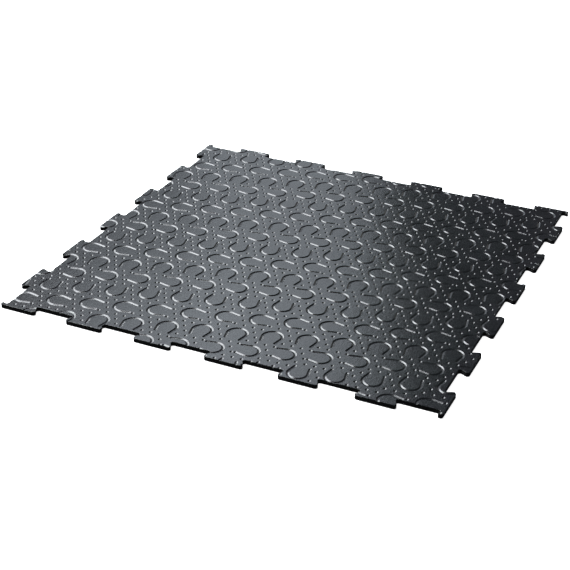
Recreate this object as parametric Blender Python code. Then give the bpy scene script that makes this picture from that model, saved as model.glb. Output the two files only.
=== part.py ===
# Interlocking rubber floor tile, an anti-fatigue mat for a one-metre module.
#
# The tile is a flat rubber slab cut out along a dovetail outline, so that it locks into equal
# tiles on all four sides. Two vulcanised plies make up its thickness: a wear layer that carries
# the tread, and a backing layer that lies on the floor. The outline has four-fold rotational
# symmetry, so a tile fits its neighbours in any quarter turn, but it has no mirror symmetry.
#
# Frame: origin at the middle of the underside, X and Y along the sides, Z up. Units: metres.

import math

import bpy
from mathutils import Vector

# ---- driving dimensions -----------------------------------------------------------------------
MODULE = 1.000              # pitch at which laid tiles repeat, along X and along Y
TABS_PER_SIDE = 6           # dovetail tabs on each side
TAB_PHASE = 0.25            # first tab's centre, in tab pitches from the module corner
TAB_DEPTH = 0.0240          # from the pockets' floor to the tabs' tips
DOVETAIL_DEG = 29.0         # slope of a tab's flanks, widening towards its tip
JOINT_CLEARANCE = 0.0008    # play between a tab and the neighbour's pocket, both sides together
TIP_RADIUS = 0.0055         # rounding of the tabs' outer corners
POCKET_RADIUS = 0.0050      # rounding of the pockets' inner corners
CORNER_RADIUS = 0.0015      # rounding of the tile's four corners

BACKING_THICKNESS = 0.0050  # lower ply
WEAR_THICKNESS = 0.0047     # upper ply, up to the plane of its tread
PLY_GAP = 0.0003            # glue line between the plies
ARC_STEPS = 4               # straight pieces in each rounded corner

COLLECTION = "anti_fatigue_mat"


def side_corners():
    """Sharp corners along the front side, from its module corner up to the next side's.

    The side is a zigzag about the module line that repeats once per tab pitch. Each point
    comes with the rounding radius of its corner.
    """
    pitch = MODULE / TABS_PER_SIDE
    half_depth = TAB_DEPTH / 2
    spread = half_depth * math.tan(math.radians(DOVETAIL_DEG))
    half_tip = pitch / 4 + spread
    half_neck = pitch / 4 - spread
    start = -MODULE / 2
    inner = start + half_depth
    outer = start - half_depth
    corners = [(start, start, CORNER_RADIUS)]
    for tab in range(TABS_PER_SIDE):
        middle = start + (tab + TAB_PHASE) * pitch
        if tab > 0:
            corners.append((middle - half_neck, inner, POCKET_RADIUS))
        corners.append((middle - half_tip, outer, TIP_RADIUS))
        corners.append((middle + half_tip, outer, TIP_RADIUS))
        corners.append((middle + half_neck, inner, POCKET_RADIUS))
    # the last pocket ends on the flank that runs out to the tile's corner
    last = start + (TABS_PER_SIDE + TAB_PHASE) * pitch
    corners.append((last - half_neck, inner, POCKET_RADIUS))
    return corners


def whole_outline():
    """The four sides, each a quarter turn on from the one before, counter-clockwise."""
    corners = []
    for quarter in range(4):
        turn = quarter * math.pi / 2
        for x, y, radius in side_corners():
            u = x * math.cos(turn) - y * math.sin(turn)
            v = x * math.sin(turn) + y * math.cos(turn)
            corners.append((Vector((u, v)), radius))
    return corners


def offset_inwards(corners, distance):
    """Moves every edge of a counter-clockwise outline inwards by the same distance."""
    moved = []
    count = len(corners)
    for i in range(count):
        here, radius = corners[i]
        before = corners[i - 1][0]
        after = corners[(i + 1) % count][0]
        d1 = (here - before).normalized()
        d2 = (after - here).normalized()
        n1 = Vector((-d1.y, d1.x))
        n2 = Vector((-d2.y, d2.x))
        moved.append((here + (n1 + n2) * (distance / (1 + n1.dot(n2))), radius))
    return moved


def round_corners(corners):
    """Replaces every corner by a tangent arc of ARC_STEPS straight pieces."""
    points = []
    count = len(corners)
    for i in range(count):
        here, radius = corners[i]
        back = (corners[i - 1][0] - here).normalized()
        ahead = (corners[(i + 1) % count][0] - here).normalized()
        half_angle = back.angle(ahead) / 2
        centre = here + (back + ahead).normalized() * (radius / math.sin(half_angle))
        first = here + back * (radius / math.tan(half_angle)) - centre
        sweep = math.pi - 2 * half_angle
        if back.cross(ahead) > 0:
            sweep = -sweep
        for step in range(ARC_STEPS + 1):
            a = sweep * step / ARC_STEPS
            x = first.x * math.cos(a) - first.y * math.sin(a)
            y = first.x * math.sin(a) + first.y * math.cos(a)
            points.append(centre + Vector((x, y)))
    return points


def slab(name, outline, bottom, thickness, material, collection):
    """A flat ply: the outline as a filled 2D curve, extruded to the ply's thickness."""
    curve = bpy.data.curves.new(name + "_outline", "CURVE")
    curve.dimensions = "2D"
    curve.fill_mode = "BOTH"
    curve.extrude = thickness / 2
    spline = curve.splines.new("POLY")
    spline.points.add(len(outline) - 1)
    for point, at in zip(spline.points, outline):
        point.co = (at.x, at.y, 0.0, 1.0)
    spline.use_cyclic_u = True
    obj = bpy.data.objects.new(name, curve)
    obj.location = (0.0, 0.0, bottom + thickness / 2)
    collection.objects.link(obj)
    weld = obj.modifiers.new("Weld", "WELD")
    weld.merge_threshold = 0.00001
    curve.materials.append(material)
    return obj


def rubber(name, colour, roughness):
    material = bpy.data.materials.new(name)
    material.use_nodes = True
    shader = material.node_tree.nodes["Principled BSDF"]
    shader.inputs["Base Color"].default_value = (*colour, 1.0)
    shader.inputs["Roughness"].default_value = roughness
    shader.inputs["Metallic"].default_value = 0.0
    return material


def build():
    for obj in list(bpy.data.objects):
        bpy.data.objects.remove(obj)
    collection = bpy.data.collections.new(COLLECTION)
    bpy.context.scene.collection.children.link(collection)

    outline = round_corners(offset_inwards(whole_outline(), JOINT_CLEARANCE / 2))
    backing = rubber("backing_rubber", (0.012, 0.012, 0.013), 0.75)
    wear = rubber("wear_rubber", (0.022, 0.024, 0.028), 0.45)
    slab("backing_layer", outline, 0.0, BACKING_THICKNESS, backing, collection)
    slab("wear_layer", outline, BACKING_THICKNESS + PLY_GAP, WEAR_THICKNESS, wear, collection)


build()
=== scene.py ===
import math

import bpy
import numpy as np
from mathutils import Matrix, Vector, geometry


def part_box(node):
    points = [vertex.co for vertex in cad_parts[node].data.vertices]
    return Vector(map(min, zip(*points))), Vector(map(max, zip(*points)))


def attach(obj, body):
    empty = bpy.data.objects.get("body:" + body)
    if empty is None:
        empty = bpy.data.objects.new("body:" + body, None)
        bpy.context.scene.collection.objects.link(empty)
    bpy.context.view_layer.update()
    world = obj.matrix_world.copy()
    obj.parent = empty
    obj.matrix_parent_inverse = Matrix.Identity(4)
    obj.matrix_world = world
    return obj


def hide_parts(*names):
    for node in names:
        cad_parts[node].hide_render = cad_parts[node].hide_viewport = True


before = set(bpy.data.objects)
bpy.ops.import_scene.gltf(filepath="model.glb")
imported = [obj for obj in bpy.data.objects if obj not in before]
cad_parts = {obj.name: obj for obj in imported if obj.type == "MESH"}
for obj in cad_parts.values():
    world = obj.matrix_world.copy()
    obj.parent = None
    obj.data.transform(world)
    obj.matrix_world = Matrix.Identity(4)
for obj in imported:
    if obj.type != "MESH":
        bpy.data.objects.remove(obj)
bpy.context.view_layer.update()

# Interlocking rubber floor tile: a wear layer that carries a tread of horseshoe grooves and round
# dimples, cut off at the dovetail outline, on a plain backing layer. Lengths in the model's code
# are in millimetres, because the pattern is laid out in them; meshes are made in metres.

MM = 1000.0                # millimetres in a metre

# ---- the outline, the same rule as the CAD model ------------------------------------------------
MODULE = 1000.0            # pitch at which laid tiles repeat
TABS_PER_SIDE = 6
TAB_PHASE = 0.25           # first tab's centre, in tab pitches from the module corner
TAB_DEPTH = 24.0
DOVETAIL_DEG = 29.0
JOINT_CLEARANCE = 0.8
TIP_RADIUS = 5.5
POCKET_RADIUS = 5.0
CORNER_RADIUS = 1.5
ARC_STEPS = 6              # straight pieces in each rounded corner
QUARTER_TURNS = ((1, 0), (0, 1), (-1, 0), (0, -1))   # cosine and sine of each side's turn

# ---- heights ------------------------------------------------------------------------------------
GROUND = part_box("wear_layer")[1].z * MM    # the CAD's top plane is the flat ground of the tread
SEAM = (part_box("wear_layer")[0].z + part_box("backing_layer")[1].z) * MM / 2   # where the plies meet
SHOE_DEPTH = 1.65
DIMPLE_DEPTH = 2.1
RIM_RADIUS = 0.5           # worn round of the top edge
SEAM_CHAMFER = 0.35
FOOT_CHAMFER = 0.5

# ---- the tread ----------------------------------------------------------------------------------
GRID = 21.0                # spacing of the triangular grid of sites
GRID_DEG = 1.14            # the pattern lies slightly askew to the cut
ORIGIN = np.array((-267.7, -204.5))
SHOE_ALONG = (3, 1)        # grid steps to the next horseshoe that points the same way
SHOE_ACROSS = (-1, 4)      # grid steps to the next one that points a quarter turn on
AROUND = ((0, 0), (1, 0), (0, 1), (-1, 1), (-1, 0), (0, -1), (1, -1))   # a site and its neighbours
SHOE_SPAN = 20             # horseshoes counted from the origin each way, more than the tile needs
SITE_SPAN = 60             # grid sites counted from the origin each way
SHOE_REACH = 40.0          # how far beyond the tabs a horseshoe's centre still takes up sites
SHOE_MARGIN = 10.0         # how far beyond the tabs a horseshoe's centre still cuts into them
DIMPLE_SHIFT = np.array((0.15, 0.5))

ARC_RADIUS = 21.0          # centreline of a horseshoe groove
ARC_CENTRE = 0.3
LEG_END = (16.5, -22.8)
# how far past the half circle the arc runs before it meets the straight legs as a tangent
LEG_ANGLE = (math.asin(ARC_RADIUS / math.hypot(ARC_CENTRE - LEG_END[1], LEG_END[0]))
             - math.atan2(LEG_END[0], ARC_CENTRE - LEG_END[1]))

# half widths at the edge of the rounded bottom, at the top of the straight flank, at the ground
GROOVE = (1.5, 3.5, 4.0)
DIMPLE = (0.6, 3.5, 4.1)

# ---- how finely the mesh is made ----------------------------------------------------------------
SHOE_ARC_POINTS = 21
CAP_POINTS = (2, 4, 5)     # points in a groove's half-round ends, for each width in GROOVE
DIMPLE_POINTS = 16
RIM_BAND = 0.3             # a ring of points inside the rim's round, as a part of its radius
SLOPE_STEP = 0.02          # distance over which a slope is measured
TREAD_MERGE = 0.0001       # points closer than this become one
FILL_MERGE = 0.00001
BATCH = 4000               # points handled at a time, to keep memory low
SLANT = 0.707              # both parts of a unit vector that leans by half a right angle


def side_corners():
    """Sharp corners along the front side, each with the radius that rounds it."""
    pitch = MODULE / TABS_PER_SIDE
    half_depth = TAB_DEPTH / 2
    spread = half_depth * math.tan(math.radians(DOVETAIL_DEG))
    half_tip, half_neck = pitch / 4 + spread, pitch / 4 - spread
    start = -MODULE / 2
    inner, outer = start + half_depth, start - half_depth
    corners = [(start, start, CORNER_RADIUS)]
    for tab in range(TABS_PER_SIDE):
        middle = start + (tab + TAB_PHASE) * pitch
        if tab > 0:
            corners.append((middle - half_neck, inner, POCKET_RADIUS))
        corners.append((middle - half_tip, outer, TIP_RADIUS))
        corners.append((middle + half_tip, outer, TIP_RADIUS))
        corners.append((middle + half_neck, inner, POCKET_RADIUS))
    last = start + (TABS_PER_SIDE + TAB_PHASE) * pitch
    corners.append((last - half_neck, inner, POCKET_RADIUS))
    return corners


def moved_corners(inset):
    """The whole outline's sharp corners, moved inwards by the clearance and the inset."""
    sharp = []
    for c, s in QUARTER_TURNS:
        sharp += [(Vector((x * c - y * s, x * s + y * c)), r) for x, y, r in side_corners()]
    move = JOINT_CLEARANCE / 2 + inset
    moved = []
    for i, (here, radius) in enumerate(sharp):
        d1 = (here - sharp[i - 1][0]).normalized()
        d2 = (sharp[(i + 1) % len(sharp)][0] - here).normalized()
        n1, n2 = Vector((-d1.y, d1.x)), Vector((-d2.y, d2.x))
        convex = d1.cross(d2) > 0
        corner = here + (n1 + n2) * (move / (1 + n1.dot(n2)))
        moved.append((corner, radius + (-inset if convex else inset)))
    return moved


def outline(inset):
    """The tile's outline moved inwards by inset, every corner a tangent arc; counter-clockwise."""
    corners = moved_corners(inset)
    points = []
    for i, (here, radius) in enumerate(corners):
        back = (corners[i - 1][0] - here).normalized()
        ahead = (corners[(i + 1) % len(corners)][0] - here).normalized()
        half = back.angle(ahead) / 2
        centre = here + (back + ahead).normalized() * (radius / math.sin(half))
        first = here + back * (radius / math.tan(half)) - centre
        sweep = (math.pi - 2 * half) * (-1 if back.cross(ahead) > 0 else 1)
        for step in range(ARC_STEPS + 1):
            a = sweep * step / ARC_STEPS
            c, s = math.cos(a), math.sin(a)
            points.append((centre.x + first.x * c - first.y * s, centre.y + first.x * s + first.y * c))
    return np.array(points)


def turned(points, angle):
    c, s = math.cos(angle), math.sin(angle)
    return np.stack([points[:, 0] * c - points[:, 1] * s, points[:, 0] * s + points[:, 1] * c], 1)


def site(i, j):
    """Place of a site of the triangular grid on the tile."""
    x, y = GRID * (i + j / 2), GRID * j * math.sqrt(3) / 2
    return turned(np.array([[x, y]]), math.radians(GRID_DEG))[0] + ORIGIN


def sites():
    """Centres of the horseshoes with their turn, and centres of the dimples on the other sites."""
    edge = MODULE / 2 + TAB_DEPTH
    shoes, taken = [], set()
    for m in range(-SHOE_SPAN, SHOE_SPAN + 1):
        for k in range(-SHOE_SPAN, SHOE_SPAN + 1):
            i, j = (a * m + b * k for a, b in zip(SHOE_ALONG, SHOE_ACROSS))
            at = site(i, j)
            if max(abs(at)) < edge + SHOE_REACH:
                shoes.append((at[0], at[1], (k % 4) * math.pi / 2))
                taken.update((i + di, j + dj) for di, dj in AROUND)
    dimples = []
    for i in range(-SITE_SPAN, SITE_SPAN + 1):
        for j in range(-SITE_SPAN, SITE_SPAN + 1):
            if (i, j) in taken:
                continue
            at = site(i, j) + DIMPLE_SHIFT
            if max(abs(at)) < edge:
                dimples.append(at)
    return np.array(shoes), np.array(dimples)


def shoe_line():
    """Points along a horseshoe's centreline, opening towards -Y, and the tangents there."""
    angles = np.linspace(-LEG_ANGLE, math.pi + LEG_ANGLE, SHOE_ARC_POINTS)
    arc = np.stack([ARC_RADIUS * np.cos(angles), ARC_CENTRE + ARC_RADIUS * np.sin(angles)], 1)
    along = np.stack([-np.sin(angles), np.cos(angles)], 1)
    right_end, left_end = np.array(LEG_END), np.array((-LEG_END[0], LEG_END[1]))
    line = np.vstack([right_end, (right_end + arc[0]) / 2, arc, (left_end + arc[-1]) / 2, left_end])
    tangents = np.vstack([along[0], along[0], along, along[-1], along[-1]])
    return line, tangents


def shoe_loop(offset, cap_points):
    """Closed line at a distance from the centreline, with half-round ends."""
    line, tangents = shoe_line()
    right = np.stack([tangents[:, 1], -tangents[:, 0]], 1)
    out = [line + right * offset]
    turn = np.linspace(0, math.pi, cap_points + 2)[1:-1]
    c, s = np.cos(turn)[:, None], np.sin(turn)[:, None]
    for end, direction in ((-1, 1.0), (0, -1.0)):
        base = right[end] * direction
        ahead = tangents[end] * direction
        out.append(line[end] + offset * (base * c + ahead * s))
        if end == -1:
            out.append((line - right * offset)[::-1])
    return np.vstack(out)


def shoe_distance(local):
    """Distance of points from a horseshoe's centreline, in its own coordinates."""
    x, y = np.abs(local[:, 0]), local[:, 1] - ARC_CENTRE
    angle = np.arctan2(y, x)
    arc = np.abs(np.hypot(x, y) - ARC_RADIUS)
    tip = np.array((LEG_END[0], LEG_END[1] - ARC_CENTRE))
    root = ARC_RADIUS * np.array((math.cos(LEG_ANGLE), -math.sin(LEG_ANGLE)))
    leg = tip - root
    t = np.clip(((x - root[0]) * leg[0] + (y - root[1]) * leg[1]) / leg.dot(leg), 0, 1)
    straight = np.hypot(x - root[0] - t * leg[0], y - root[1] - t * leg[1])
    return np.where(angle >= -LEG_ANGLE, np.minimum(arc, straight), straight)


def dip(distance, depth, widths):
    """Depth of a dip with a rounded bottom, straight flanks, and a round edge to the ground."""
    bottom, flank, ground = widths
    slope = 2 * depth / (ground + flank - bottom)
    low = depth - slope * distance ** 2 / (2 * bottom)
    side = depth - slope * (distance - bottom / 2)
    edge = slope * np.maximum(ground - distance, 0) ** 2 / (2 * (ground - flank))
    return np.where(distance < bottom, low, np.where(distance < flank, side, edge))


def relief(points, shoe, dimple):
    """Height over the ground at each point, from the horseshoe and the dimple nearest to it."""
    c, s = np.cos(shoe[:, 2]), np.sin(shoe[:, 2])
    d = points - shoe[:, :2]
    local = np.stack([d[:, 0] * c + d[:, 1] * s, -d[:, 0] * s + d[:, 1] * c], 1)
    groove = dip(shoe_distance(local), SHOE_DEPTH, GROOVE)
    near = np.hypot(*(points - dimple).T)
    return -np.maximum(groove, dip(near, DIMPLE_DEPTH, DIMPLE))


def nearest(points, targets):
    """For each point, the row of targets whose place is nearest to it."""
    found = np.empty(len(points), int)
    for start in range(0, len(points), BATCH):
        part = points[start:start + BATCH]
        d = (part[:, None, 0] - targets[None, :, 0]) ** 2 + (part[:, None, 1] - targets[None, :, 1]) ** 2
        found[start:start + BATCH] = d.argmin(1)
    return targets[found]


def inside(points, loop):
    """Even-odd test of points against a closed line."""
    answer = np.zeros(len(points), bool)
    for p, q in zip(loop, np.roll(loop, -1, 0)):
        if p[1] == q[1]:
            continue
        crosses = (p[1] > points[:, 1]) != (q[1] > points[:, 1])
        at = (q[0] - p[0]) * (points[:, 1] - p[1]) / (q[1] - p[1]) + p[0]
        answer ^= crosses & (points[:, 0] < at)
    return answer


def ring_normals(ring):
    """Outward unit normals at the points of a counter-clockwise ring."""
    d = np.roll(ring, -1, 0) - ring
    d /= np.hypot(d[:, 0], d[:, 1])[:, None]
    n = np.stack([d[:, 1], -d[:, 0]], 1)
    both = n + np.roll(n, 1, 0)
    return both / np.hypot(both[:, 0], both[:, 1])[:, None]


def edge_distance(points, loop):
    """Distance from points to a closed line, and the outward normal at its nearest point."""
    best = np.full(len(points), np.inf)
    outward = np.zeros_like(points)
    corner = ring_normals(loop)
    for p, q, m, n in zip(loop, np.roll(loop, -1, 0), corner, np.roll(corner, -1, 0)):
        d = q - p
        t = np.clip(((points - p) @ d) / d.dot(d), 0, 1)
        gap = p + t[:, None] * d - points
        distance = np.hypot(gap[:, 0], gap[:, 1])
        closer = distance < best
        best[closer] = distance[closer]
        outward[closer] = m + t[closer, None] * (n - m)
    return best, outward


def unit(vectors):
    return vectors / np.linalg.norm(vectors, axis=1)[:, None]


def make_mesh(name, vertices, faces, normals, slots, materials):
    """A mesh in metres from millimetres; normals holds one vector for each face corner."""
    mesh = bpy.data.meshes.new(name)
    mesh.from_pydata((vertices / MM).tolist(), [], faces)
    for material in materials:
        mesh.materials.append(material)
    mesh.polygons.foreach_set("material_index", slots)
    mesh.polygons.foreach_set("use_smooth", [True] * len(faces))
    mesh.update()
    mesh.normals_split_custom_set(normals)
    obj = bpy.data.objects.new(name, mesh)
    bpy.context.scene.collection.objects.link(obj)
    return obj


def filled(ring):
    """Triangles that fill a closed counter-clockwise ring, as indices into it."""
    count = len(ring)
    edges = [(i, (i + 1) % count) for i in range(count)]
    got = geometry.delaunay_2d_cdt([Vector(p) for p in ring.tolist()], edges, [], 1, FILL_MERGE)
    at, triangles, origin = np.array([tuple(v) for v in got[0]]), got[2], got[3]
    middles = at[np.array([list(t) for t in triangles])].mean(1)
    return [tuple(origin[i][0] for i in t) for t, kept in zip(triangles, inside(middles, ring)) if kept]


def walls(rings, outward, slants):
    """Quads between rings of vertices, from the lowest ring up, and their corners' normals.

    A band's normals lean by its slant, which is the outward and the upward part of a unit vector.
    """
    faces, normals = [], []
    count = len(outward)
    for lower, upper, (flat, rise) in zip(rings[:-1], rings[1:], slants):
        leaning = [tuple(n) for n in np.c_[outward * flat, np.full(count, rise)].tolist()]
        for i in range(count):
            j = (i + 1) % count
            faces.append((lower[i], lower[j], upper[j], upper[i]))
            normals += [leaning[i], leaning[j], leaning[j], leaning[i]]
    return faces, normals


def tread_plan(shoes, dimples, rim):
    """Points and triangles of the tread seen from above, with edges along every bend of it."""
    points, edges = [], []

    def add(loop, closed=True):
        first, count = len(points), len(loop)
        points.extend(loop.tolist())
        edges.extend((first + i, first + (i + 1) % count) for i in range(count if closed else count - 1))

    add(rim)
    add(outline(RIM_BAND * RIM_RADIUS))
    add(outline(RIM_RADIUS))
    line = shoe_line()[0]
    loops = [shoe_loop(width, cap) for width, cap in zip(GROOVE[::-1], CAP_POINTS[::-1])]
    for x, y, angle in shoes:
        if max(abs(x), abs(y)) > MODULE / 2 + TAB_DEPTH + SHOE_MARGIN:
            continue
        for loop in loops:
            add(turned(loop, angle) + (x, y))
        add(turned(line, angle) + (x, y), closed=False)
    turns = np.linspace(0, 2 * math.pi, DIMPLE_POINTS, endpoint=False)
    ring = np.stack([np.cos(turns), np.sin(turns)], 1)
    bottom, flank, ground = DIMPLE
    for dimple in dimples:
        add(dimple + ring * ground)
        add(dimple + ring * flank)
        add(dimple + ring[::2] * bottom)
        points.append(dimple.tolist())

    got = geometry.delaunay_2d_cdt([Vector(p) for p in points], edges, [], 1, TREAD_MERGE)
    flat = np.array([tuple(v) for v in got[0]])
    triangles = np.array([list(t) for t in got[2]])
    triangles = triangles[inside(flat[triangles].mean(1), rim)]
    used = np.unique(triangles)
    renumber = np.full(len(flat), -1)
    renumber[used] = np.arange(len(used))
    return flat[used], renumber[triangles]


def boundary(triangles):
    """Vertices around the outside, in order, from the edges that only one triangle has."""
    edges = {(t[i - 1], t[i]) for t in triangles.tolist() for i in range(3)}
    following = {a: b for a, b in edges if (b, a) not in edges}
    start = min(following)
    chain = [start]
    while following[chain[-1]] != start:
        chain.append(following[chain[-1]])
    return chain


def tread(materials):
    """The wear layer as one closed shell: moulded top, cut walls, flat bottom at the seam."""
    shoes, dimples = sites()
    rim = outline(0.0)
    flat, triangles = tread_plan(shoes, dimples, rim)
    shoe, dimple = nearest(flat, shoes), nearest(flat, dimples)
    heights = relief(flat, shoe, dimple)
    slope = [(relief(flat + d, shoe, dimple) - relief(flat - d, shoe, dimple)) / (2 * SLOPE_STEP)
             for d in (np.array((SLOPE_STEP, 0)), np.array((0, SLOPE_STEP)))]
    up = unit(np.stack([-slope[0], -slope[1], np.ones(len(flat))], 1))

    # the rim's round lowers the points near the outline and leans their normals outwards
    border = boundary(triangles)
    distance, outward = edge_distance(flat, rim)
    distance[border] = 0
    lean = np.clip((RIM_RADIUS - distance) / RIM_RADIUS, 0, 1)
    heights = heights - RIM_RADIUS * (1 - np.sqrt(1 - lean ** 2))
    rounded = lean > 0
    up[rounded] = (up[rounded] * np.sqrt(1 - lean[rounded] ** 2)[:, None]
                   + np.c_[outward[rounded], np.zeros(rounded.sum())] * lean[rounded][:, None])
    up = unit(up)

    count = len(border)
    wall_foot = np.c_[flat[border], np.full(count, SEAM + SEAM_CHAMFER)]
    bottom = np.c_[flat[border] - outward[border] * SEAM_CHAMFER, np.full(count, SEAM)]
    vertices = np.vstack([np.c_[flat, GROUND + heights], wall_foot, bottom])
    foot_ring = list(range(len(flat), len(flat) + count))
    bottom_ring = list(range(len(flat) + count, len(flat) + 2 * count))
    wall_faces, wall_normals = walls([bottom_ring, foot_ring, border], outward[border],
                                     [(SLANT, -SLANT), (1.0, 0.0)])
    top_faces = [tuple(t) for t in triangles.tolist()]
    bottom_faces = [tuple(bottom_ring[i] for i in reversed(t)) for t in filled(bottom[:, :2])]
    top_normals = [tuple(n) for n in up.tolist()]
    normals = [top_normals[i] for t in top_faces for i in t] + wall_normals
    normals += [(0.0, 0.0, -1.0)] * (3 * len(bottom_faces))
    faces = top_faces + wall_faces + bottom_faces
    slots = [0] * len(top_faces) + [1] * (len(faces) - len(top_faces))
    return make_mesh("tread_ply", vertices, faces, normals, slots, materials)


def backing(materials):
    """The backing layer: the same outline, with its edges broken at the seam and at the floor."""
    # inset and height of each ring, from the floor up, and the slant of each band between them
    levels = [(FOOT_CHAMFER, 0.0), (0.15 * FOOT_CHAMFER, 0.3 * FOOT_CHAMFER), (0.0, FOOT_CHAMFER),
              (0.0, SEAM - SEAM_CHAMFER), (SEAM_CHAMFER, SEAM)]
    slants = [(0.35, -0.94), (0.94, -0.35), (1.0, 0.0), (SLANT, SLANT)]
    ring = outline(0.0)
    outward = ring_normals(ring)
    count = len(ring)
    layers = [np.c_[ring - outward * inset, np.full(count, z)] for inset, z in levels]
    index = [list(range(i * count, (i + 1) * count)) for i in range(len(levels))]
    faces, normals = walls(index, outward, slants)
    wall_count = len(faces)
    floor_fill = [tuple(reversed(t)) for t in filled(layers[0][:, :2])]
    seam_fill = [tuple(index[-1][i] for i in t) for t in filled(layers[-1][:, :2])]
    normals += [(0.0, 0.0, -1.0)] * (3 * len(floor_fill)) + [(0.0, 0.0, 1.0)] * (3 * len(seam_fill))
    faces += floor_fill + seam_fill
    slots = [1] * wall_count + [0] * (len(faces) - wall_count)
    return make_mesh("backing_ply", np.vstack(layers), faces, normals, slots, materials)


# ---- materials ----------------------------------------------------------------------------------
NOISE_LOW, NOISE_HIGH = 0.3, 0.7   # between these lies nearly all of a noise texture's output
BUMP_STRENGTH = 0.8
WEAVE_PITCH = 1.6


class Nodes:
    """A short way to write a procedural material."""

    def __init__(self, name):
        self.material = bpy.data.materials.new(name)
        self.material.use_nodes = True
        self.tree = self.material.node_tree
        self.shader = self.tree.nodes["Principled BSDF"]
        self.place = self.add("ShaderNodeTexCoord").outputs["Object"]

    def add(self, kind, **settings):
        node = self.tree.nodes.new(kind)
        for key, value in settings.items():
            setattr(node, key, value)
        return node

    def link(self, output, node, socket):
        self.tree.links.new(output, node.inputs[socket])

    def scaled(self, scale=(1, 1, 1), turn=0.0):
        node = self.add("ShaderNodeMapping")
        node.inputs["Scale"].default_value = scale
        node.inputs["Rotation"].default_value = (0, 0, math.radians(turn))
        self.link(self.place, node, "Vector")
        return node.outputs["Vector"]

    def noise(self, size, detail, rough, vector=None):
        """Noise whose features are about as large as size, in millimetres."""
        node = self.add("ShaderNodeTexNoise")
        node.inputs["Scale"].default_value = MM / size
        node.inputs["Detail"].default_value = detail
        node.inputs["Roughness"].default_value = rough
        self.link(vector or self.place, node, "Vector")
        return node.outputs["Fac"]

    def threads(self, turn):
        """One direction of a cloth's print: parallel ribs, slightly uneven."""
        node = self.add("ShaderNodeTexWave", wave_type="BANDS", bands_direction="X", wave_profile="SIN")
        node.inputs["Scale"].default_value = MM / WEAVE_PITCH / math.tau * 2
        node.inputs["Distortion"].default_value = 0.6
        self.link(self.scaled(turn=turn), node, "Vector")
        return node.outputs["Fac"]

    def spread(self, noise, low, high):
        """Noise spread over the range from low to high."""
        node = self.add("ShaderNodeMapRange")
        node.inputs["From Min"].default_value = NOISE_LOW
        node.inputs["From Max"].default_value = NOISE_HIGH
        node.inputs["To Min"].default_value = low
        node.inputs["To Max"].default_value = high
        self.link(noise, node, "Value")
        return node.outputs["Result"]

    def sum(self, *parts):
        """Weighted sum of (output, weight) pairs."""
        total = None
        for output, weight in parts:
            node = self.add("ShaderNodeMath", operation="MULTIPLY")
            self.link(output, node, 0)
            node.inputs[1].default_value = weight
            if total is None:
                total = node.outputs[0]
                continue
            plus = self.add("ShaderNodeMath", operation="ADD")
            self.link(total, plus, 0)
            self.link(node.outputs[0], plus, 1)
            total = plus.outputs[0]
        return total

    def colours(self, value, *stops):
        """A colour ramp over (position, colour) stops."""
        node = self.add("ShaderNodeValToRGB")
        ramp = node.color_ramp
        while len(ramp.elements) < len(stops):
            ramp.elements.new(0.5)
        for element, (position, colour) in zip(ramp.elements, stops):
            element.position = position
            element.color = (*colour, 1.0)
        self.link(value, node, "Fac")
        return node.outputs["Color"]

    def bump(self, height, depth):
        """Normals bent by a height from 0 to 1 that stands for a depth in millimetres."""
        node = self.add("ShaderNodeBump")
        node.inputs["Strength"].default_value = BUMP_STRENGTH
        node.inputs["Distance"].default_value = depth / MM
        self.link(height, node, "Height")
        return node.outputs["Normal"]

    def finish(self, colour, roughness, normal, specular=0.5):
        self.link(colour, self.shader, "Base Color")
        self.link(roughness, self.shader, "Roughness")
        self.link(normal, self.shader, "Normal")
        self.shader.inputs["Specular IOR Level"].default_value = specular
        return self.material


def tread_rubber():
    """Press-moulded black rubber: a pebbled, finely grained skin, faint diagonal drag, bloom."""
    n = Nodes("tread_rubber")
    grain = n.noise(2.6, 3.0, 0.6)
    fine = n.noise(0.9, 2.0, 0.6)
    drag = n.noise(2.2, 2.0, 0.5, n.scaled((1.0, 0.25, 1.0), 38))
    patches = n.noise(160, 3.0, 0.55)
    mottle = n.noise(14, 3.0, 0.6)
    pebble = n.noise(7.5, 2.0, 0.5)
    tone = n.sum((patches, 0.35), (mottle, 0.3), (grain, 0.35))
    colour = n.colours(tone, (0.36, (0.0045, 0.0050, 0.0060)), (0.5, (0.0070, 0.0076, 0.0090)),
                       (0.66, (0.0115, 0.0125, 0.0145)))
    rough = n.sum((n.spread(patches, 0.17, 0.21), 1.0), (n.spread(grain, 0.0, 0.04), 1.0))
    height = n.sum((pebble, 1.6), (grain, 1.0), (drag, 0.8), (fine, 0.35))
    return n.finish(colour, rough, n.bump(height, 0.13))


def cut_rubber():
    """The cut walls: duller, with upright drag marks and a few torn crumbs."""
    n = Nodes("cut_rubber")
    drag = n.noise(1.3, 2.0, 0.6, n.scaled((1.0, 1.0, 0.12)))
    crumb = n.noise(3.0, 3.0, 0.65)
    tone = n.sum((drag, 0.5), (crumb, 0.5))
    colour = n.colours(tone, (0.35, (0.004, 0.004, 0.0045)), (0.6, (0.009, 0.009, 0.010)),
                       (0.8, (0.016, 0.016, 0.017)))
    rough = n.spread(crumb, 0.62, 0.85)
    return n.finish(colour, rough, n.bump(n.sum((drag, 1.0), (crumb, 0.7)), 0.4), 0.35)


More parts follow.
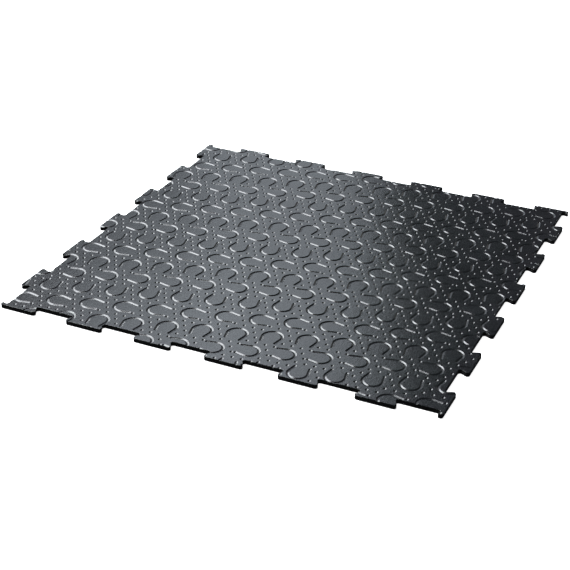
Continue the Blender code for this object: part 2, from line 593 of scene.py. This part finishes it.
def backing_rubber():
    """The underside, taken to be pressed against cloth: a fine weave, dulled by release powder."""
    n = Nodes("backing_rubber")
    warp, weft = n.threads(0), n.threads(90)
    powder = n.noise(60, 4.0, 0.6)
    grain = n.noise(1.8, 2.0, 0.5)
    colour = n.colours(n.sum((powder, 0.7), (grain, 0.3)), (0.38, (0.010, 0.010, 0.011)),
                       (0.52, (0.018, 0.018, 0.019)), (0.68, (0.036, 0.036, 0.037)))
    rough = n.spread(powder, 0.6, 0.8)
    height = n.sum((warp, 0.5), (weft, 0.5), (grain, 0.4))
    return n.finish(colour, rough, n.bump(height, 0.25), 0.4)


# ---- the model ----------------------------------------------------------------------------------
cut = cut_rubber()
wear = tread([tread_rubber(), cut])
base = backing([backing_rubber(), cut])
for piece, node, slot in ((wear, "wear_layer", "wear_rubber"), (base, "backing_layer", "backing_rubber")):
    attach(piece, "root")
    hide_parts(node)


# ---- studio: pale floor, soft light, camera; lengths in metres ----------------------------------
FLOOR_HALF = 30.0
FLOOR_Z = -0.0002          # just under the tile's foot
FLOOR_GREY = 0.86
FLOOR_GLOW = 0.93
LIGHT_DISTANCE = 6.0
WHITE = (1.0, 1.0, 1.0)
COOL = (0.84, 0.92, 1.0)
FAINTLY_COOL = (0.93, 0.97, 1.0)
SURROUND = (0.9, 0.95, 1.0)
SURROUND_STRENGTH = 0.06

CAMERA_AT = Vector((1.11790, -2.59872, 1.45522))
YAW, TILT, ROLL = (math.radians(v) for v in (-24.204, 28.381, 0.944))
SENSOR_WIDTH, FOCAL_LENGTH = 36.0, 85.18   # millimetres
CLIP_NEAR, CLIP_FAR = 0.05, 100.0


def studio_floor():
    mesh = bpy.data.meshes.new("floor")
    corners = ((-1, -1), (1, -1), (1, 1), (-1, 1))
    mesh.from_pydata([(x * FLOOR_HALF, y * FLOOR_HALF, FLOOR_Z) for x, y in corners], [], [(0, 1, 2, 3)])
    floor = bpy.data.objects.new("floor", mesh)
    bpy.context.scene.collection.objects.link(floor)
    material = bpy.data.materials.new("floor_white")
    material.use_nodes = True
    shader = material.node_tree.nodes["Principled BSDF"]
    shader.inputs["Base Color"].default_value = (FLOOR_GREY, FLOOR_GREY, FLOOR_GREY, 1)
    shader.inputs["Roughness"].default_value = 0.9
    shader.inputs["Specular IOR Level"].default_value = 0.0
    shader.inputs["Emission Color"].default_value = (*WHITE, 1)
    shader.inputs["Emission Strength"].default_value = FLOOR_GLOW
    mesh.materials.append(material)
    floor.visible_glossy = False
    floor.visible_diffuse = False


def softbox(name, azimuth, elevation, across, tall, radiance, colour=WHITE):
    """An area light aimed at the tile's middle, its size given as the angles it spans there.

    All angles are in degrees. Azimuth is counted from +X towards +Y.
    """
    width = 2 * LIGHT_DISTANCE * math.tan(math.radians(across / 2))
    height = 2 * LIGHT_DISTANCE * math.tan(math.radians(tall / 2))
    lamp = bpy.data.lights.new(name, "AREA")
    lamp.shape = "RECTANGLE"
    lamp.size, lamp.size_y = width, height
    lamp.energy = radiance * math.pi * width * height
    lamp.color = colour
    obj = bpy.data.objects.new(name, lamp)
    a, e = math.radians(azimuth), math.radians(elevation)
    towards = Vector((math.cos(a) * math.cos(e), math.sin(a) * math.cos(e), math.sin(e)))
    obj.location = towards * LIGHT_DISTANCE
    obj.rotation_euler = (-towards).to_track_quat("-Z", "Y").to_euler()
    obj.visible_camera = False
    bpy.context.scene.collection.objects.link(obj)


def studio_lights():
    # behind the tile: the flat ground mirrors these, all but its right part, which stays dark
    softbox("sheen_right", 114.5, 35.5, 11, 14, 2.25, COOL)
    softbox("sheen_right_low", 114.5, 14.5, 11, 28, 1.25, COOL)
    softbox("sheen_left", 126, 35.5, 11, 14, 2.25, COOL)
    softbox("sheen_left_low", 124.5, 14.5, 9, 28, 0.55, COOL)
    # left and back: the grooves' far walls mirror these
    softbox("key", 167, 54, 42, 28, 16.0, FAINTLY_COOL)
    softbox("key_middle", 165, 30, 42, 20, 8.0, FAINTLY_COOL)
    softbox("key_low", 145, 13, 14, 16, 6.0, FAINTLY_COOL)
    # weak fill from the other sides
    softbox("right_low", 84, 24, 14, 30, 0.5)
    softbox("front_fill", -80, 35, 30, 18, 1.0)
    softbox("left_fill", 200, 35, 22, 18, 1.0)
    softbox("right_fill", 0, 40, 22, 18, 0.5)


def studio_world():
    """White where the camera sees it, and a dim cool grey for everything else."""
    world = bpy.data.worlds.new("studio")
    bpy.context.scene.world = world
    world.use_nodes = True
    nodes, links = world.node_tree.nodes, world.node_tree.links
    dim = nodes["Background"]
    dim.inputs["Color"].default_value = (*SURROUND, 1)
    dim.inputs["Strength"].default_value = SURROUND_STRENGTH
    white = nodes.new("ShaderNodeBackground")
    white.inputs["Color"].default_value = (*WHITE, 1)
    white.inputs["Strength"].default_value = 1.0
    path = nodes.new("ShaderNodeLightPath")
    mix = nodes.new("ShaderNodeMixShader")
    links.new(path.outputs["Is Camera Ray"], mix.inputs[0])
    links.new(dim.outputs[0], mix.inputs[1])
    links.new(white.outputs[0], mix.inputs[2])
    links.new(mix.outputs[0], nodes["World Output"].inputs["Surface"])


def photo_camera():
    """The photograph's view: yaw from +Y, tilt below the horizon, roll about the line of sight."""
    ahead = Vector((math.sin(YAW) * math.cos(TILT), math.cos(YAW) * math.cos(TILT), -math.sin(TILT)))
    level = ahead.cross(Vector((0, 0, 1))).normalized()
    above = level.cross(ahead)
    right = level * math.cos(ROLL) + above * math.sin(ROLL)
    top = above * math.cos(ROLL) - level * math.sin(ROLL)
    lens = bpy.data.cameras.new("camera")
    lens.sensor_width = SENSOR_WIDTH
    lens.lens = FOCAL_LENGTH
    lens.clip_start, lens.clip_end = CLIP_NEAR, CLIP_FAR
    camera = bpy.data.objects.new("camera", lens)
    axes = Matrix((right, top, -ahead)).transposed()
    camera.matrix_world = Matrix.Translation(CAMERA_AT) @ axes.to_4x4()
    bpy.context.scene.collection.objects.link(camera)
    bpy.context.scene.camera = camera


studio_floor()
studio_lights()
studio_world()
photo_camera()
view = bpy.context.scene.view_settings
view.view_transform = "Standard"
view.look = "None"

bpy.context.view_layer.update()
